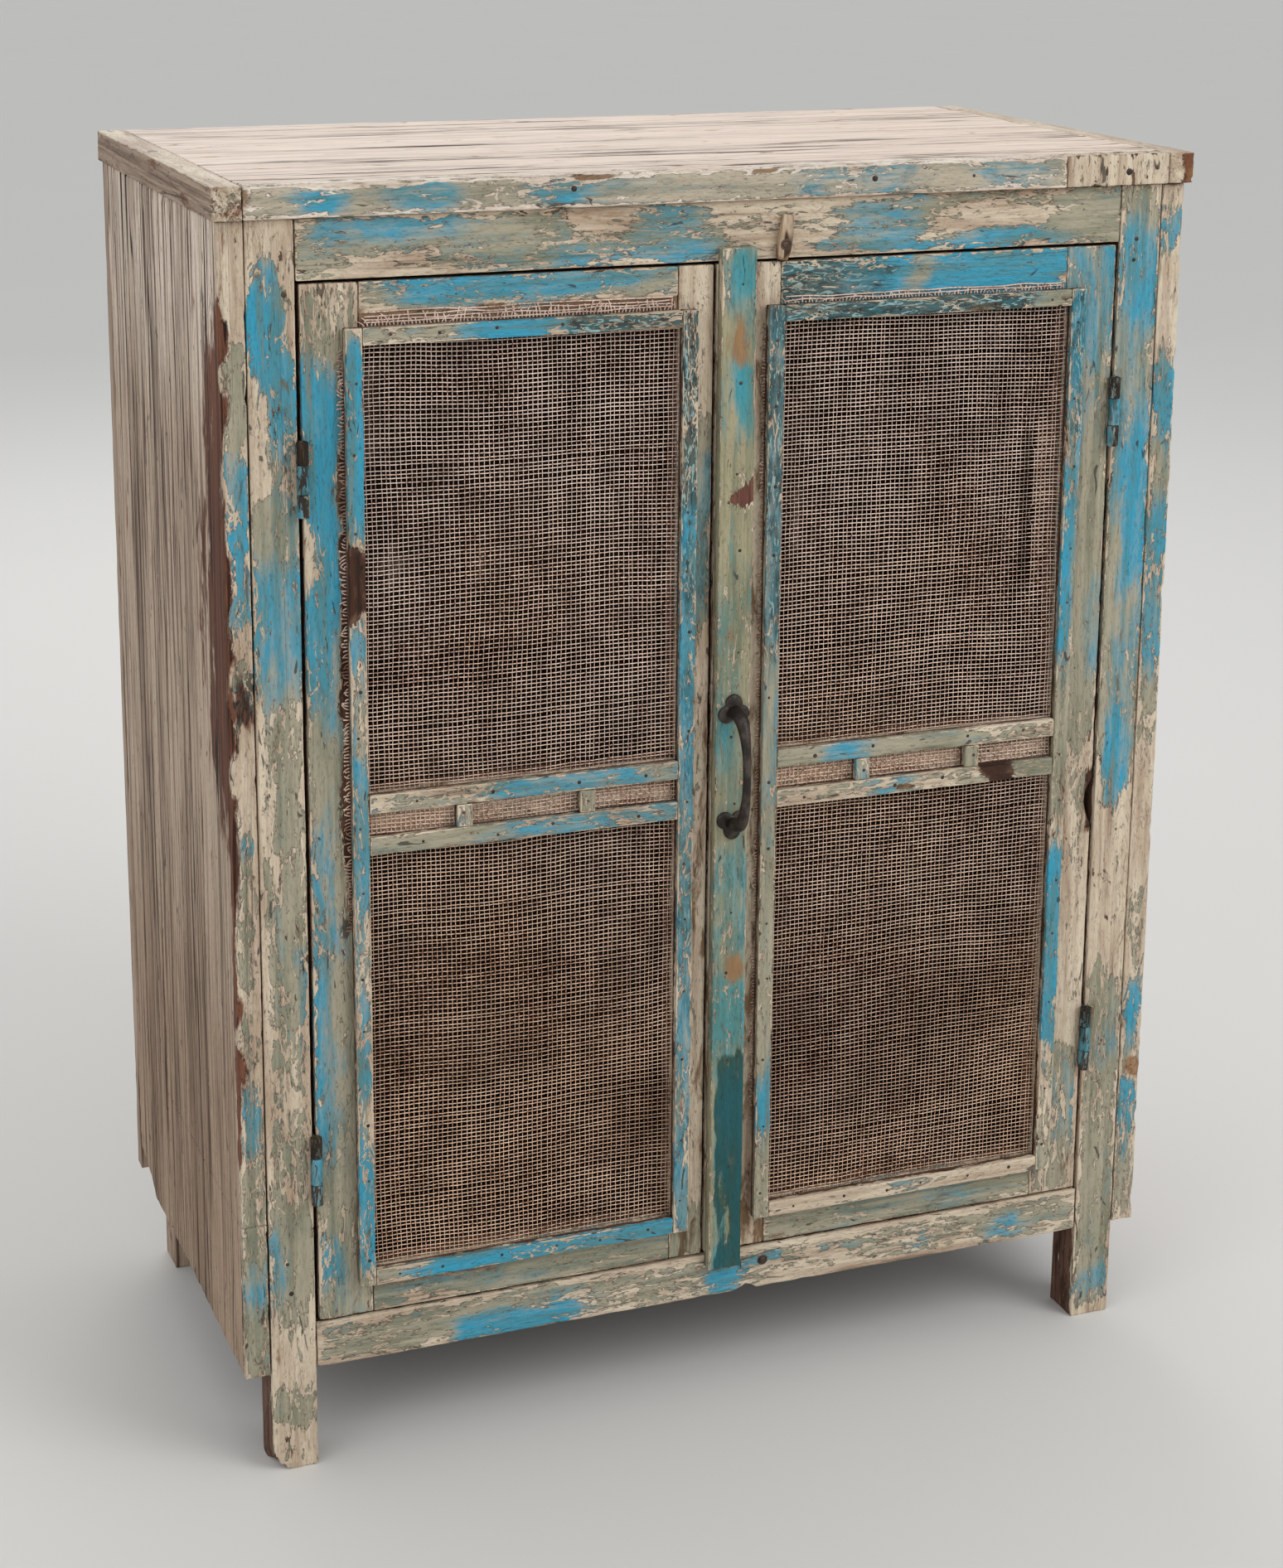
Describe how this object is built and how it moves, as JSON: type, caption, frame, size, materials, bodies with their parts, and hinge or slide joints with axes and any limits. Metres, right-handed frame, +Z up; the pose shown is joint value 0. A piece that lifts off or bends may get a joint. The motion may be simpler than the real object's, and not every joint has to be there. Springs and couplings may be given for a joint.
{
  "type": "pantry cupboard",
  "caption": "Free-standing pantry cupboard on short post legs, with hinged mesh-panelled doors, a cover strip with a pull handle, turn buttons, a boarded back and a shelf inside.",
  "frame": {"origin": "middle of the overall box at floor level, under the legs", "axes": "+Z up, +X to the right of someone facing the doors, front faces -Y"},
  "size_m": [0.948, 0.5406, 1.207],
  "materials": {
    "blue_paint": "chipped turquoise paint over grey-green and cream coats",
    "worn_paint": "worn cream and grey-green paint",
    "bare_board": "weathered bare board",
    "sanded_top": "sanded pale board",
    "inner_board": "dark aged board",
    "woven_mesh": "woven wire with worn pale paint",
    "hinge_metal": "paint worn to dark steel",
    "handle_iron": "dark, hand-rubbed",
    "button_wood": "bare, dry"
  },
  "bodies": {
    "carcass": {"left_front_post": "worn_paint", "right_front_post": "worn_paint", "left_rear_post": "bare_board", "right_rear_post": "bare_board", "left_side_front_board": "bare_board", "left_side_rear_board": "bare_board", "right_side_front_board": "bare_board", "right_side_rear_board": "bare_board", "back_panel": "bare_board", "top_front_board": "sanded_top", "top_rear_board": "sanded_top", "top_edging_front": "blue_paint", "top_edging_left": "sanded_top", "top_edging_right": "sanded_top", "front_top_rail": "blue_paint", "front_bottom_rail": "worn_paint", "floor_board": "inner_board", "shelf_board": "inner_board", "left_shelf_cleat": "inner_board", "right_shelf_cleat": "inner_board", "left_upper_hinge_frame_leaf": "hinge_metal", "left_lower_hinge_frame_leaf": "hinge_metal", "right_upper_hinge_frame_leaf": "hinge_metal", "right_lower_hinge_frame_leaf": "hinge_metal"},
    "left_door": {"left_door_hinge_stile": "blue_paint", "left_door_meeting_stile": "blue_paint", "left_door_top_rail": "blue_paint", "left_door_mid_rail": "blue_paint", "left_door_bottom_rail": "blue_paint", "left_door_mesh": "woven_mesh", "left_door_hinge_bead": "blue_paint", "left_door_meeting_bead": "blue_paint", "left_door_top_bead": "blue_paint", "left_door_bottom_bead": "blue_paint", "left_door_upper_slat": "blue_paint", "left_door_lower_slat": "blue_paint", "left_door_hinge_block": "blue_paint", "left_door_meeting_block": "blue_paint", "left_upper_hinge_door_leaf": "hinge_metal", "left_lower_hinge_door_leaf": "hinge_metal"},
    "right_door": {"right_door_hinge_stile": "blue_paint", "right_door_meeting_stile": "blue_paint", "right_door_top_rail": "blue_paint", "right_door_mid_rail": "blue_paint", "right_door_bottom_rail": "blue_paint", "right_door_mesh": "woven_mesh", "right_door_hinge_bead": "blue_paint", "right_door_meeting_bead": "blue_paint", "right_door_top_bead": "blue_paint", "right_door_bottom_bead": "blue_paint", "right_door_upper_slat": "blue_paint", "right_door_lower_slat": "blue_paint", "right_door_hinge_block": "blue_paint", "right_door_meeting_block": "blue_paint", "right_upper_hinge_door_leaf": "hinge_metal", "right_lower_hinge_door_leaf": "hinge_metal", "cover_strip": "blue_paint", "pull_handle": "handle_iron"},
    "upper_button": {"upper_turn_button": "button_wood"},
    "lower_button": {"lower_turn_button": "worn_paint"}
  },
  "joints": [
    {"name": "left_door_hinge", "type": "hinge", "parent": "carcass", "child": "left_door", "pos_m": [-0.4001, -0.2255, 0.6305], "axis": [0, 0, -1], "range_deg": [0, 160]},
    {"name": "right_door_hinge", "type": "hinge", "parent": "carcass", "child": "right_door", "pos_m": [0.4001, -0.2255, 0.6305], "axis": [0, 0, 1], "range_deg": [0, 160]},
    {"name": "upper_button_pivot", "type": "hinge", "parent": "carcass", "child": "upper_button", "pos_m": [0.05177, -0.22, 1.13616], "axis": [0, 1, 0], "range_deg": [0, 172]},
    {"name": "lower_button_pivot", "type": "hinge", "parent": "carcass", "child": "lower_button", "pos_m": [0.04868, -0.22, 0.13099], "axis": [0, -1, 0], "range_deg": [0, 82]}
  ]
}
